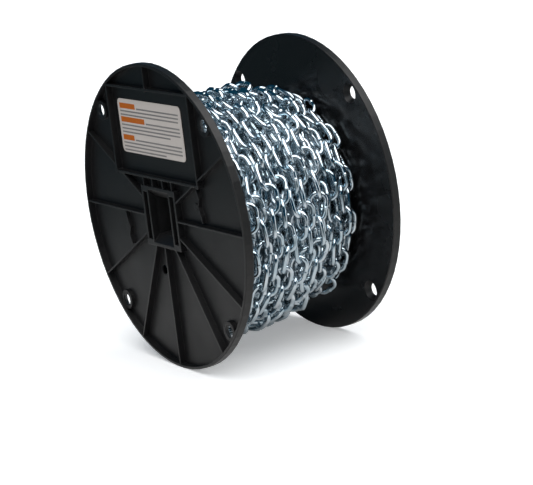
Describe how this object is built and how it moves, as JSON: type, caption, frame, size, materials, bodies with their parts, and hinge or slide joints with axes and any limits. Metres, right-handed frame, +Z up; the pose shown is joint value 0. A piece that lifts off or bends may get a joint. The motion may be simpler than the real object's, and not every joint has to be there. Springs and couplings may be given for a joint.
{
  "type": "reel of steel chain",
  "caption": "Black plastic reel with ribbed round flanges and a square arbor opening, wound in layers with bright zinc-plated straight-link steel chain.",
  "frame": {"origin": "on the floor, under the middle of the reel as it lies on its rims", "axes": "+Y along the reel's axis from the near flange, which carries the sticker, to the far flange; +Z up, towards the sticker panel; +X to the right as seen facing the sticker"},
  "size_m": [0.3046, 0.178, 0.3046],
  "materials": {
    "flange_plastic": "black moulded plastic, satin, a little lighter on worn edges",
    "drum_plastic": "black moulded plastic, hidden under the chain",
    "chain_steel": "bright zinc plating with a cold blue tint",
    "sticker_paper": "white coated paper with plain orange bars and grey rules"
  },
  "bodies": {
    "root": {"near_flange": "flange_plastic", "far_flange": "flange_plastic", "drum": "drum_plastic", "chain": "chain_steel", "sticker": "sticker_paper"}
  },
  "joints": []
}
